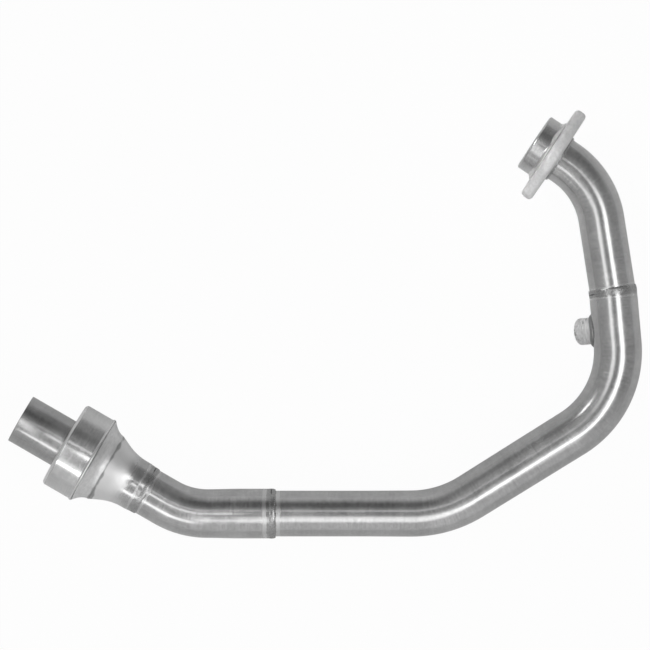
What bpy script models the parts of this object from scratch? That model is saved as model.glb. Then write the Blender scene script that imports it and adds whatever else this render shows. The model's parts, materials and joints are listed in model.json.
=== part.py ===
"""Exhaust header pipe of a single-cylinder motorcycle, laid on its side.

A machined port ring and a two-stud flange sit on the first bend. Three bent steel tubes follow,
joined by beads, with a sensor bung on the second one. The last tube slips into a flared cone that
opens into a short drum, and a stub leaves the drum on the same axis.

The centreline lies in one plane and is described as a bender would: straights, bend angles and
bend radii, in order from the port. Pieces are placed by their distance along that line. The whole
assembly is then laid down on the face of its convex hull that lies below its centre of mass.
Metres, +Z up.
"""
import math

import bmesh
import bpy
from mathutils import Matrix, Vector, geometry

MM = 0.001

# Clearance that neighbouring pieces keep
GAP = 0.3 * MM

# Centreline, from the middle of the flange to the end of the outlet stub
FLANGE_U = 173.7 * MM
FLANGE_V = 129.6 * MM
PORT_ANGLE = -33.7
STRAIGHT_1 = 10.4 * MM
BEND_1_ANGLE = 47.4
BEND_1_RADIUS = 64.0 * MM
STRAIGHT_2 = 55.7 * MM
SET_ANGLE = 3.8
SET_RADIUS = 80.0 * MM
STRAIGHT_3 = 33.9 * MM
BEND_2_ANGLE = 63.2
BEND_2_RADIUS = 73.3 * MM
STRAIGHT_4 = 90.9 * MM
BEND_3_ANGLE = 31.9
BEND_3_RADIUS = 86.5 * MM
STRAIGHT_5 = 106.3 * MM
STRAIGHT_6 = 48.6 * MM
BEND_4_ANGLE = 30.0
BEND_4_RADIUS = 62.8 * MM
STRAIGHT_7 = 19.7 * MM
BEND_STEP = 5.4

# Tubes
UPPER_OD = 35.0 * MM
UPPER_WALL = 1.2 * MM
LOWER_OD = 36.6 * MM
LOWER_WALL = 1.2 * MM
REAR_OD = 37.0 * MM
REAR_WALL = 1.2 * MM
SOCKET_OD = 37.8 * MM
SOCKET_LENGTH = 36.0 * MM
SOCKET_TAPER = 4.0 * MM
SOCKET_DEPTH = 22.0 * MM
TAPER_RUN_OUT = 33.0 * MM
TUBE_RESOLUTION = 14

# Port ring
RING_OD = 45.8 * MM
RING_LENGTH = 13.2 * MM
RING_SHOULDER_OD = 51.0 * MM
RING_FILLET = 4.0 * MM
RING_LAND = 0.6 * MM
RING_NOSE_ROUND = 4.2 * MM
RING_THROAT_LENGTH = 3.0 * MM
RING_THROAT_CHAMFER = 0.6 * MM

# Head flange
FLANGE_THICKNESS = 9.4 * MM
STUD_SPACING = 59.4 * MM
STUD_HOLE = 9.0 * MM
LOBE_RADIUS = 9.3 * MM
BOSS_RADIUS = 28.5 * MM
FLANGE_ROUND = 3.4 * MM
FLANGE_WELD_LEG = 1.5 * MM
FLANGE_WELD_WIDTH = 3.0 * MM

# Beads round the tubes
BEAD_WIDTH = 4.6 * MM
BEAD_CROWN = 0.4 * MM

# Sensor bung
BUNG_OD = 20.4 * MM
BUNG_BORE = 10.8 * MM
BUNG_HEIGHT = 13.6 * MM
BUNG_CHAMFER = 0.9 * MM
BUNG_STATION = 28.3 * MM
BUNG_LEAN = 30.0
BUNG_BEAD_RADIUS = 1.5 * MM

# Cone and its neck over the rear tube
CONE_WALL = 1.0 * MM
CONE_LENGTH = 16.8 * MM
CONE_MOUTH_OD = 54.0 * MM
CONE_BLEND = 5.0 * MM
NECK_LENGTH = 15.8 * MM
NECK_OVERLAP = 10.0 * MM

# Drum: a pressed cup closed by a spun cap
CUP_OD = 68.4 * MM
CUP_WALL = 1.5 * MM
CUP_LENGTH = 25.8 * MM
CUP_CORNER = 2.6 * MM
CUP_CORNER_SWEEP = 85.0
CUP_CONE = 0.6 * MM
LIP_LENGTH = 2.0 * MM
LIP_RISE = 0.8 * MM
CAP_LENGTH = 11.4 * MM
CAP_WALL = 1.2 * MM
CAP_STEP = 0.3 * MM

# Outlet stub
STUB_OD = 38.4 * MM
STUB_WALL = 1.2 * MM
STUB_LENGTH = 37.8 * MM
STUB_DEPTH = 9.0 * MM
STUB_EDGE = 0.4 * MM
STUB_WELD_LEG = 2.2 * MM

TURN_STEPS = 36
BEAD_STEPS = 32

NAME = "exhaust_header_pipe"


def clear_scene():
    for obj in list(bpy.data.objects):
        bpy.data.objects.remove(obj, do_unlink=True)


def collection(name):
    made = bpy.data.collections.new(name)
    bpy.context.scene.collection.children.link(made)
    return made


def material(name, colour, roughness, metallic=1.0):
    made = bpy.data.materials.new(name)
    made.use_nodes = True
    shader = made.node_tree.nodes["Principled BSDF"]
    shader.inputs["Base Color"].default_value = (*colour, 1.0)
    shader.inputs["Roughness"].default_value = roughness
    shader.inputs["Metallic"].default_value = metallic
    return made


# Centreline

BENDS = (
    (STRAIGHT_1, BEND_1_ANGLE, BEND_1_RADIUS),
    (STRAIGHT_2, SET_ANGLE, SET_RADIUS),
    (STRAIGHT_3, BEND_2_ANGLE, BEND_2_RADIUS),
    (STRAIGHT_4, BEND_3_ANGLE, BEND_3_RADIUS),
    (STRAIGHT_5 + STRAIGHT_6, BEND_4_ANGLE, BEND_4_RADIUS),
)


def arc_length(angle, radius):
    return math.radians(angle) * radius


def locate(station):
    """Point and direction of the centreline at a distance from the middle of the flange."""
    point = Vector((FLANGE_U, FLANGE_V, 0.0))
    heading = math.radians(PORT_ANGLE)
    left = station
    for straight, angle, radius in BENDS:
        ahead = Vector((math.cos(heading), math.sin(heading), 0.0))
        if left <= straight:
            return point + ahead * left, ahead
        point = point + ahead * straight
        left -= straight
        arc = arc_length(angle, radius)
        # every bend turns clockwise, seen from above
        centre = point + Vector((ahead.y, -ahead.x, 0.0)) * radius
        turn = min(left, arc) / radius
        heading -= turn
        ahead = Vector((math.cos(heading), math.sin(heading), 0.0))
        point = centre + Vector((-ahead.y, ahead.x, 0.0)) * radius
        if left <= arc:
            return point, ahead
        left -= arc
    ahead = Vector((math.cos(heading), math.sin(heading), 0.0))
    return point + ahead * left, ahead


JOINT_1 = STRAIGHT_1 + arc_length(BEND_1_ANGLE, BEND_1_RADIUS) + STRAIGHT_2
BEND_2_START = JOINT_1 + arc_length(SET_ANGLE, SET_RADIUS) + STRAIGHT_3
BEND_2_END = BEND_2_START + arc_length(BEND_2_ANGLE, BEND_2_RADIUS)
BEND_3_END = BEND_2_END + STRAIGHT_4 + arc_length(BEND_3_ANGLE, BEND_3_RADIUS)
JOINT_2 = BEND_3_END + STRAIGHT_5
BEND_4_END = JOINT_2 + STRAIGHT_6 + arc_length(BEND_4_ANGLE, BEND_4_RADIUS)
JOINT_3 = BEND_4_END + STRAIGHT_7
CONE_END = JOINT_3 + NECK_LENGTH + CONE_LENGTH
CAP_END = CONE_END + GAP + CAP_LENGTH
CUP_FRONT = CAP_END + GAP + CUP_LENGTH
STUB_END = CUP_FRONT + STUB_LENGTH

# The lower tube's end fits the socket of the rear tube
LOWER_END_OD = SOCKET_OD - 2 * REAR_WALL - 2 * GAP
NECK_OD = REAR_OD + 2 * GAP + 2 * CONE_WALL
PORT_BORE = UPPER_OD - 2 * UPPER_WALL


def stations(start, end, extra=()):
    """Distances where a swept tube needs a section: its ends, the bends in steps, and extras."""
    found = {start, end}
    found.update(s for s in extra if start < s < end)
    at = 0.0
    for straight, angle, radius in BENDS:
        at += straight
        arc = arc_length(angle, radius)
        count = max(2, math.ceil(angle / BEND_STEP))
        found.update(at + arc * i / count for i in range(count + 1)
                     if start < at + arc * i / count < end)
        at += arc
    kept = []
    for s in sorted(found):
        if not kept or s - kept[-1] > 0.2 * MM:
            kept.append(s)
    return kept


def frame(station):
    """Matrix at a station: Z along the tube, X in the pipe's plane, to the right of the flow."""
    point, ahead = locate(station)
    side = Vector((ahead.y, -ahead.x, 0.0))
    up = ahead.cross(side)
    return Matrix((
        (side.x, up.x, ahead.x, point.x),
        (side.y, up.y, ahead.y, point.y),
        (side.z, up.z, ahead.z, point.z),
        (0.0, 0.0, 0.0, 1.0),
    ))


# Makers of pieces

def add_object(name, data, where, mat=None):
    obj = bpy.data.objects.new(name, data)
    where.objects.link(obj)
    if mat:
        data.materials.append(mat)
    return obj


def swept(name, start, end, radius_at, where, caps, extra=()):
    """Mesh object swept along the centreline, its radius given at each station."""
    curve = bpy.data.curves.new(name, "CURVE")
    curve.dimensions = "3D"
    curve.bevel_mode = "ROUND"
    curve.bevel_depth = MM
    curve.bevel_resolution = TUBE_RESOLUTION
    curve.use_fill_caps = caps
    marks = stations(start, end, extra)
    spline = curve.splines.new("POLY")
    spline.points.add(len(marks) - 1)
    for point, station in zip(spline.points, marks):
        place, _ = locate(station)
        point.co = (*place, 1.0)
        point.radius = radius_at(station) / MM
    return meshed(name, curve, where)


def meshed(name, curve, where):
    """Plain mesh object of a curve, with its caps welded on."""
    drawn = add_object(name + "_curve", curve, where)
    bpy.context.view_layer.update()
    seen = drawn.evaluated_get(bpy.context.evaluated_depsgraph_get())
    mesh = bpy.data.meshes.new_from_object(seen)
    mesh.name = name
    work = bmesh.new()
    work.from_mesh(mesh)
    bmesh.ops.remove_doubles(work, verts=work.verts, dist=0.01 * MM)
    work.to_mesh(mesh)
    work.free()
    obj = add_object(name, mesh, where)
    obj.matrix_world = drawn.matrix_world
    bpy.data.objects.remove(drawn, do_unlink=True)
    return obj


def tube(name, start, end, radius_at, wall, where, mat, extra=()):
    obj = swept(name, start, end, radius_at, where, False, extra)
    obj.data.materials.append(mat)
    obj.data.shade_smooth()
    shell = obj.modifiers.new("wall", "SOLIDIFY")
    shell.thickness = wall
    shell.offset = -1.0
    shell.use_even_offset = True
    shell.use_rim = True
    return obj


def turned(name, profile, matrix, where, mat, steps=TURN_STEPS):
    """Ring turned from a closed profile of (radius, height), outer side first, top to bottom."""
    mesh = bpy.data.meshes.new(name)
    count = len(profile)
    mesh.from_pydata([(r, 0.0, z) for r, z in profile],
                     [(i, (i + 1) % count) for i in range(count)], [])
    obj = add_object(name, mesh, where, mat)
    obj.matrix_world = matrix
    screw = obj.modifiers.new("turn", "SCREW")
    screw.steps = steps
    screw.render_steps = steps
    screw.use_smooth_shade = True
    screw.use_merge_vertices = True
    screw.merge_threshold = 0.01 * MM
    return obj


def arc_points(centre, radius, start, end, count):
    """Points of an arc in a profile, both ends included, angles in degrees."""
    made = []
    for i in range(count + 1):
        a = math.radians(start + (end - start) * i / count)
        made.append((centre[0] + radius * math.cos(a), centre[1] + radius * math.sin(a)))
    return made


def bead(name, station, thin, thick, where, mat):
    """Weld bead at the step from a thin tube up to a thick one that starts at the station."""
    inner, outer = thin + GAP, thick + GAP
    crown = thick + GAP + BEAD_CROWN
    half = BEAD_WIDTH / 2
    profile = [(outer, half)]
    steps = 3
    for i in range(1, steps):
        t = i / steps
        profile.append((outer + BEAD_CROWN * math.sin(t * math.pi / 2), half * (1 - t)))
    profile.append((crown, 0.0))
    for i in range(1, steps):
        t = i / steps
        profile.append((inner + GAP + (crown - inner - GAP) * math.cos(t * math.pi / 2), -half * t))
    profile.append((inner, -half))
    profile.append((inner, -GAP))
    profile.append((outer, -GAP))
    return turned(name, profile, frame(station), where, mat, BEAD_STEPS)


def cutter_for(target, cutter):
    cut = target.modifiers.new(cutter.name, "BOOLEAN")
    cut.operation = "DIFFERENCE"
    cut.solver = "EXACT"
    cut.object = cutter
    cutter.hide_render = True
    cutter.display_type = "WIRE"


def cylinder(name, radius, depth, matrix, where, sides=32):
    """Closed cylinder from height 0 to its depth along the matrix's Z."""
    mesh = bpy.data.meshes.new(name)
    work = bmesh.new()
    bmesh.ops.create_cone(work, cap_ends=True, segments=sides, radius1=radius, radius2=radius,
                          depth=depth, matrix=Matrix.Translation((0.0, 0.0, depth / 2)))
    work.to_mesh(mesh)
    work.free()
    obj = add_object(name, mesh, where)
    obj.matrix_world = matrix
    return obj


# Pieces

def make_port_ring(parts, steel):
    """Ring in front of the flange, bored to take the tube up to a throat behind its nose."""
    seat = -FLANGE_THICKNESS / 2 - GAP
    nose = seat - RING_LENGTH
    step = nose + RING_THROAT_LENGTH
    bore = UPPER_OD / 2 + GAP
    throat = PORT_BORE / 2
    r = RING_OD / 2
    shoulder = RING_SHOULDER_OD / 2
    profile = [(shoulder, seat), (shoulder, seat - RING_LAND)]
    for i in range(1, 4):
        t = i / 3
        profile.append((r + (shoulder - r) * (1 - math.sin(t * math.pi / 2)),
                        seat - RING_LAND - RING_FILLET * t))
    profile += arc_points((r - RING_NOSE_ROUND, nose + RING_NOSE_ROUND), RING_NOSE_ROUND,
                          0.0, -90.0, 3)
    profile += [(throat + RING_THROAT_CHAMFER, nose), (throat, nose + RING_THROAT_CHAMFER),
                (throat, step), (bore, step), (bore, seat)]
    turned("port_ring", profile, frame(0.0), parts, steel)
    return step + GAP


def make_flange(parts, cutters, cast, weld):
    """Two-stud flange, its long axis in the pipe's plane, and the bead behind it."""
    reach = STUD_SPACING / 2
    # the tangent from the middle boss to an end lobe
    lean = math.degrees(math.acos((BOSS_RADIUS - LOBE_RADIUS) / reach))
    outline = []
    for middle, radius, start, end, count in (
            (reach, LOBE_RADIUS, -lean, lean, 8),
            (0.0, BOSS_RADIUS, lean, 180.0 - lean, 8),
            (-reach, LOBE_RADIUS, 180.0 - lean, 180.0 + lean, 8),
            (0.0, BOSS_RADIUS, 180.0 + lean, 360.0 - lean, 8)):
        outline += arc_points((middle, 0.0), radius, start, end, count)
    curve = bpy.data.curves.new("head_flange", "CURVE")
    curve.dimensions = "2D"
    curve.fill_mode = "BOTH"
    curve.extrude = FLANGE_THICKNESS / 2
    spline = curve.splines.new("POLY")
    spline.points.add(len(outline) - 1)
    spline.use_cyclic_u = True
    for point, (x, y) in zip(spline.points, outline):
        point.co = (x, y, 0.0, 1.0)
    flange = meshed("head_flange", curve, parts)
    flange.data.materials.append(cast)
    flange.matrix_world = frame(0.0)
    edge = flange.modifiers.new("round", "BEVEL")
    edge.width = FLANGE_ROUND
    edge.segments = 3
    edge.limit_method = "ANGLE"
    edge.angle_limit = math.radians(60.0)
    edge.use_clamp_overlap = False
    centre = cylinder("flange_bore_cut", UPPER_OD / 2 + GAP, 2 * FLANGE_THICKNESS,
                      frame(0.0) @ Matrix.Translation((0.0, 0.0, -FLANGE_THICKNESS)), cutters, 36)
    cutter_for(flange, centre)
    for side in (-1, 1):
        place = Matrix.Translation((side * reach, 0.0, -FLANGE_THICKNESS))
        hole = cylinder(f"stud_hole_cut_{(side + 3) // 2}", STUD_HOLE / 2, 2 * FLANGE_THICKNESS,
                        frame(0.0) @ place, cutters, 20)
        cutter_for(flange, hole)

    back = FLANGE_THICKNESS / 2 + GAP
    low = UPPER_OD / 2 + GAP
    turned("flange_weld",
           [(low, back + FLANGE_WELD_WIDTH),
            (low + FLANGE_WELD_LEG * 0.45, back + FLANGE_WELD_WIDTH * 0.55),
            (low + FLANGE_WELD_LEG, back), (low, back)],
           frame(0.0), parts, weld, BEAD_STEPS)


def make_tubes(parts, tube_start, steel):
    """The upper, lower and rear tubes, hollow all the way."""
    tube("upper_pipe", tube_start, JOINT_1 - GAP / 2, lambda s: UPPER_OD / 2, UPPER_WALL, parts,
         steel)

    def lower_radius(s):
        """Full size down to the end of the big bend, then narrowing to fit the socket."""
        t = min(1.0, max(0.0, (s - BEND_2_END) / (BEND_3_END + TAPER_RUN_OUT - BEND_2_END)))
        return (LOWER_OD + (LOWER_END_OD - LOWER_OD) * t) / 2

    lower = tube("lower_pipe", JOINT_1 + GAP / 2, JOINT_2 + SOCKET_DEPTH, lower_radius, LOWER_WALL,
                 parts, steel, (BEND_3_END + TAPER_RUN_OUT,))

    def rear_radius(s):
        """Expanded to a socket over its first stretch."""
        t = min(1.0, max(0.0, (s - JOINT_2 - SOCKET_LENGTH) / SOCKET_TAPER))
        return (SOCKET_OD + (REAR_OD - SOCKET_OD) * t) / 2

    tube("rear_pipe", JOINT_2, JOINT_3 + NECK_OVERLAP, rear_radius, REAR_WALL, parts, steel,
         (JOINT_2 + SOCKET_LENGTH, JOINT_2 + SOCKET_LENGTH + SOCKET_TAPER))
    return lower


def make_bung(parts, cutters, lower, steel, weld):
    """Sensor bung on the inner side of the lower tube, leaning down, with its saddle bead."""
    tube_r = LOWER_OD / 2
    base = frame(JOINT_1 + BUNG_STATION)
    # local Z of the bung: to the inner side of the bend, leaning below the pipe's plane
    lean = math.radians(BUNG_LEAN)
    matrix = base @ Matrix((
        (0.0, math.sin(lean), math.cos(lean), 0.0),
        (0.0, -math.cos(lean), math.sin(lean), 0.0),
        (1.0, 0.0, 0.0, 0.0),
        (0.0, 0.0, 0.0, 1.0),
    ))
    top = tube_r + BUNG_HEIGHT
    r, bore, c = BUNG_OD / 2, BUNG_BORE / 2, BUNG_CHAMFER
    foot = tube_r * 0.45
    bung = turned("sensor_bung",
                  [(r - c, top), (r, top - c), (r, foot), (bore, foot), (bore, top - c),
                   (bore + c, top)],
                  matrix, parts, steel, 32)
    core = swept("bung_saddle_cut", JOINT_1 + GAP, JOINT_1 + 2 * BUNG_STATION,
                 lambda s: tube_r + GAP, cutters, True)
    cutter_for(bung, core)
    hole = cylinder("sensor_hole_cut", bore, tube_r * 1.5, matrix, cutters, 24)
    cutter_for(lower, hole)

    ring = r + GAP + BUNG_BEAD_RADIUS
    height = tube_r + GAP + BUNG_BEAD_RADIUS
    curve = bpy.data.curves.new("sensor_bung_weld", "CURVE")
    curve.dimensions = "3D"
    curve.bevel_depth = BUNG_BEAD_RADIUS
    curve.bevel_resolution = 2
    spline = curve.splines.new("POLY")
    count = 28
    spline.points.add(count - 1)
    spline.use_cyclic_u = True
    for i, point in enumerate(spline.points):
        a = 2 * math.pi * i / count
        across = ring * math.sin(a)
        point.co = (ring * math.cos(a), across, math.sqrt(height ** 2 - across ** 2), 1.0)
    path = meshed("sensor_bung_weld", curve, parts)
    path.data.materials.append(weld)
    path.data.shade_smooth()
    path.matrix_world = matrix


def make_cone(parts, steel):
    """Spun cone: a neck over the rear tube, opening to the cap's diameter."""
    neck, mouth = NECK_OD / 2, CONE_MOUTH_OD / 2
    end = CONE_END - JOINT_3
    outer = [(neck, 0.0), (neck, NECK_LENGTH)]
    slope = (mouth - neck) / (CONE_LENGTH - CONE_BLEND / 2)
    for i in range(1, 4):
        t = i / 3
        outer.append((neck + slope * CONE_BLEND * t * t / 2, NECK_LENGTH + CONE_BLEND * t))
    outer.append((mouth, end))
    inner = inside(outer, CONE_WALL)
    # top to bottom down the outer side, back up inside
    turned("flare_cone", outer[::-1] + inner, frame(JOINT_3), parts, steel)


def make_drum(parts, steel, weld):
    """The spun cap, the pressed cup with its hole, and the stub welded in from inside."""
    neck, rim = CONE_MOUTH_OD / 2 + CAP_STEP, CUP_OD / 2 + LIP_RISE - CAP_STEP
    # a trumpet curve from the neck out to the rim
    count = 5
    outer = [(neck + (rim - neck) * (i / count) ** 2, CAP_LENGTH * i / count)
             for i in range(count + 1)]
    inner = inside(outer, CAP_WALL)
    turned("collar_cap", outer[::-1] + inner, frame(CONE_END + GAP), parts, steel)

    r, lip = CUP_OD / 2, CUP_OD / 2 + LIP_RISE
    hole = STUB_OD / 2 + GAP
    front = CUP_LENGTH
    corner = CUP_CORNER
    outer = [(lip, 0.0), (lip, LIP_LENGTH * 0.4), (r, LIP_LENGTH)]
    outer += arc_points((r - corner, front - CUP_CONE - corner), corner, 0.0,
                        CUP_CORNER_SWEEP, 3)
    outer.append((hole, front))
    inner = [(hole, front - CUP_WALL)]
    inner += arc_points((r - corner, front - CUP_CONE - corner), corner - CUP_WALL,
                        CUP_CORNER_SWEEP, 0.0, 2)
    inner += [(r - CUP_WALL, 0.0)]
    turned("collar_cup", outer[::-1] + inner[::-1], frame(CAP_END + GAP), parts, steel)

    r, e = STUB_OD / 2, STUB_EDGE
    total = STUB_LENGTH + STUB_DEPTH
    turned("outlet_stub",
           [(r - e, total), (r, total - e), (r, 0.0), (r - STUB_WALL, 0.0),
            (r - STUB_WALL, total)],
           frame(STUB_END - total), parts, steel)
    leg = STUB_WELD_LEG
    low = STUB_OD / 2 + GAP
    turned("stub_weld", [(low + leg, 0.0), (low + leg * 0.45, -leg * 0.55), (low, -leg),
                         (low, 0.0)],
           frame(CUP_FRONT - CUP_WALL - GAP), parts, weld, BEAD_STEPS)


def inside(points, wall):
    """The inner side of a run of profile points, each as deep as its slope needs for the wall."""
    made = []
    for i, (r, z) in enumerate(points):
        r0, z0 = points[max(0, i - 1)]
        r1, z1 = points[min(len(points) - 1, i + 1)]
        made.append((r - wall * math.hypot(1.0, (r1 - r0) / (z1 - z0)), z))
    return made


# Rest

def world_points(objects):
    graph = bpy.context.evaluated_depsgraph_get()
    points, weight, centre = [], 0.0, Vector()
    for obj in objects:
        seen = obj.evaluated_get(graph)
        mesh = seen.to_mesh()
        mesh.calc_loop_triangles()
        places = [seen.matrix_world @ v.co for v in mesh.vertices]
        points += places
        for tri in mesh.loop_triangles:
            a, b, c = (places[i] for i in tri.vertices)
            volume = a.dot(b.cross(c)) / 6
            weight += volume
            centre += (a + b + c) / 4 * volume
        seen.to_mesh_clear()
    return points, centre / weight


def lay_down(objects, holder):
    """Turn the holder so that the pipe rests on its hull, and put the box's foot at the origin."""
    bpy.context.view_layer.update()
    points, centre = world_points(objects)
    hull = bmesh.new()
    for place in points:
        hull.verts.new(place)
    made = bmesh.ops.convex_hull(hull, input=hull.verts)
    faces = [f for f in made["geom"] if isinstance(f, bmesh.types.BMFace)]
    bmesh.ops.recalc_face_normals(hull, faces=faces)
    best, down = 2.0, Vector((0.0, 0.0, -1.0))
    for face in faces:
        a, b, c = (v.co for v in face.verts[:3])
        normal = (b - a).cross(c - a)
        if normal.length < 1e-12:
            continue
        normal.normalize()
        if normal.dot(a - centre) < 0:
            normal.negate()
        drop = 1.0 + normal.z
        if drop < best and geometry.intersect_ray_tri(a, b, c, normal, centre):
            best, down = drop, normal
    hull.free()
    turn = down.rotation_difference(Vector((0.0, 0.0, -1.0))).to_matrix().to_4x4()
    turned_points = [turn @ p for p in points]
    low = [min(p[i] for p in turned_points) for i in range(3)]
    high = [max(p[i] for p in turned_points) for i in range(3)]
    shift = Vector((-(low[0] + high[0]) / 2, -(low[1] + high[1]) / 2, -low[2]))
    holder.matrix_world = Matrix.Translation(shift) @ turn


def main():
    clear_scene()
    parts = collection(NAME)
    cutters = collection("cutters")

    steel = material("brushed_stainless", (0.56, 0.56, 0.55), 0.28)
    machined = material("turned_stainless", (0.60, 0.60, 0.59), 0.24)
    cast = material("blasted_steel", (0.62, 0.62, 0.61), 0.45)
    weld = material("weld_metal", (0.42, 0.41, 0.40), 0.42)

    tube_start = make_port_ring(parts, machined)
    make_flange(parts, cutters, cast, weld)
    lower = make_tubes(parts, tube_start, steel)
    make_bung(parts, cutters, lower, machined, weld)
    bead("upper_weld", JOINT_1, UPPER_OD / 2, LOWER_OD / 2, parts, weld)
    bead("middle_weld", JOINT_2, LOWER_END_OD / 2, SOCKET_OD / 2, parts, weld)
    bead("rear_weld", JOINT_3, REAR_OD / 2, NECK_OD / 2, parts, weld)
    make_cone(parts, steel)
    make_drum(parts, steel, weld)

    holder = bpy.data.objects.new("resting_frame", None)
    bpy.context.scene.collection.objects.link(holder)
    for obj in list(parts.objects) + list(cutters.objects):
        obj.parent = holder
    lay_down(list(parts.objects), holder)
    bpy.context.view_layer.update()


if __name__ == "__main__":
    main()
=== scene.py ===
"""Looks of the exhaust header pipe: stainless tubes, welds, flange, drum and the studio.

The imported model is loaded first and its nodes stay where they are. Each piece here is built from
the same named sizes, finer, in the frame that the record's port and outlet mounts give. It
stands for one node, apart from the bung's thread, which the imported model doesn't have.
"""
import json
import math

import bmesh
import bpy
from bpy.props import FloatProperty, FloatVectorProperty, IntProperty, PointerProperty
from bpy.types import Operator, Panel, PropertyGroup
from mathutils import Matrix, Vector


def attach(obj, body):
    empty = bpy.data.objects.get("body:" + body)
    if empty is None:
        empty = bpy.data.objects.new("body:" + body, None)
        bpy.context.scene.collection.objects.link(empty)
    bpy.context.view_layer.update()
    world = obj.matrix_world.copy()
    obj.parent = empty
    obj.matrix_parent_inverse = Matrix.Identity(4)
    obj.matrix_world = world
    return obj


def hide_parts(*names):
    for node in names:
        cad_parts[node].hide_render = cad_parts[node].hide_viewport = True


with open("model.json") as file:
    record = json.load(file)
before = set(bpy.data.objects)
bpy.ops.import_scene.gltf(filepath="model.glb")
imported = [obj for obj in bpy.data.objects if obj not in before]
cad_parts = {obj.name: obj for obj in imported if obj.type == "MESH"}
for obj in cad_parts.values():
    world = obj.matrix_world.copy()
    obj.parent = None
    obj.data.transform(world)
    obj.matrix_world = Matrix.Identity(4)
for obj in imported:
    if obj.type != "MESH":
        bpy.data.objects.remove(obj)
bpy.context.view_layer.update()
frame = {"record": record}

bl_info = {
    "name": "Exhaust header pipe",
    "version": (1, 0, 0),
    "blender": (4, 5, 0),
    "location": "3D View > Sidebar > Header pipe",
    "description": "Builds a motorcycle header pipe piece by piece, with its studio",
    "category": "Object",
}

MM = 0.001
# between neighbouring pieces, and between a bore and the tube in it
GAP, FIT = 0.3 * MM, 0.05 * MM
# the port ring's narrow mouth, behind which the upper tube ends
THROAT = 3.0 * MM
# the lower tube in its socket, and the rear tube in the cone's neck
SLIP, NECK_SLIP = 22.0 * MM, 10.0 * MM
# wall that is left at the edge of the cone's neck
NECK_EDGE = 0.4 * MM
# the rear tube's socket, which then narrows over as much again
SOCKET = 24.0 * MM
# the lower tube narrows from its second bend to this far behind its third
NARROWING = 33.0 * MM
TURN_STEPS, RIPPLE_STEPS = 128, 8


# Centreline

PORT_ANGLE = -33.7
FLANGE_MIDDLE = Vector((173.7 * MM, 129.6 * MM, 0.0))
# the straight before each bend, the bend's length along the centreline, and its radius
BENDS = [(straight * MM, math.radians(angle) * (radius * MM), radius * MM)
         for straight, angle, radius in (
             (10.4, 47.4, 64.0), (55.7, 3.8, 80.0), (33.9, 63.2, 73.3), (90.9, 31.9, 86.5),
             (154.9, 30.0, 62.8))]
JOINT_1 = sum(BENDS[0][:2]) + BENDS[1][0]
BEND_2_END = JOINT_1 + BENDS[1][1] + sum(BENDS[2][:2])
BEND_3_END = BEND_2_END + sum(BENDS[3][:2])
BEND_4_END = BEND_3_END + sum(BENDS[4][:2])
JOINT_2 = BEND_3_END + 106.3 * MM
JOINT_3 = BEND_4_END + 19.7 * MM


def level(angle):
    return Vector((math.cos(angle), math.sin(angle), 0.0))


def right_of(ahead):
    return Vector((ahead.y, -ahead.x, 0.0))


def locate(station):
    """Point and direction of the centreline at a distance from the middle of the flange."""
    point, heading, left = FLANGE_MIDDLE.copy(), math.radians(PORT_ANGLE), station
    for straight, curve, radius in BENDS:
        ahead = level(heading)
        if left <= straight:
            return point + ahead * left, ahead
        left -= straight
        centre = point + ahead * straight + right_of(ahead) * radius
        heading -= min(left, curve) / radius
        ahead = level(heading)
        point = centre - right_of(ahead) * radius
        if left <= curve:
            return point, ahead
        left -= curve
    return point + ahead * left, ahead


def axes(x, z):
    return Matrix((x, z.cross(x), z)).transposed()


def section(station):
    """Matrix at a station of the pipe's plane: Z along the tube, X to the right of the flow."""
    point, ahead = locate(station)
    return Matrix.Translation(point) @ axes(right_of(ahead), ahead).to_4x4()


# Sizes and colours that a user would change

def amount(name, description, default, **more):
    return FloatProperty(name=name, description=description, default=default, **more)


def length(name, description, default):
    return amount(name, description, default * MM, min=0.0, unit="LENGTH", precision=4)


def tone(name, description, grey):
    return FloatVectorProperty(name=name, description=description, default=(grey, grey, grey),
                               subtype="COLOR", size=3, min=0.0, max=1.0)


class TubeSizes(PropertyGroup):
    upper: length("Upper tube", "Outside diameter from the port to the first joint", 35.0)
    lower: length("Lower tube", "Outside diameter round the big bend", 36.6)
    lower_end: length("Lower tube end", "Outside diameter where it enters the socket", 34.8)
    rear: length("Rear tube", "Outside diameter before the drum", 37.0)
    socket: length("Socket", "Outside diameter of the rear tube's expanded end", 37.8)
    wall: length("Wall", "Wall of the three tubes", 1.2)
    sides: IntProperty(name="Sides", description="Facets round a tube", default=96, min=24,
                       max=160)


class PortSizes(PropertyGroup):
    ring: length("Ring", "Outside diameter of the port ring", 45.8)
    ring_length: length("Ring length", "From its nose to the flange", 13.2)
    shoulder: length("Shoulder", "Diameter of the ring where it meets the flange", 51.0)
    nose_round: length("Nose round", "Depth of the ring's rounded outer nose", 3.2)
    thickness: length("Flange thickness", "Plate thickness", 9.4)
    studs: length("Stud spacing", "Between the two stud holes", 59.4)
    stud_hole: length("Stud hole", "Diameter of a stud hole", 9.0)
    lobe: length("Lobe radius", "Round the stud holes", 9.3)
    boss: length("Boss radius", "Round the middle of the flange", 28.5)
    edge_round: length("Edge round", "Radius of the flange's edges", 3.4)


class BungSizes(PropertyGroup):
    diameter: length("Bung", "Outside diameter of the sensor bung", 20.4)
    bore: length("Bore", "Diameter of its bore", 10.8)
    height: length("Height", "From the tube's side to its face", 13.6)
    pitch: length("Thread pitch", "Pitch of the sensor thread", 1.25)
    station: length("Place", "Distance from the first joint", 28.3)
    lean: amount("Lean", "How far it leans below the pipe's plane", math.radians(30.0),
                 subtype="ANGLE")


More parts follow.
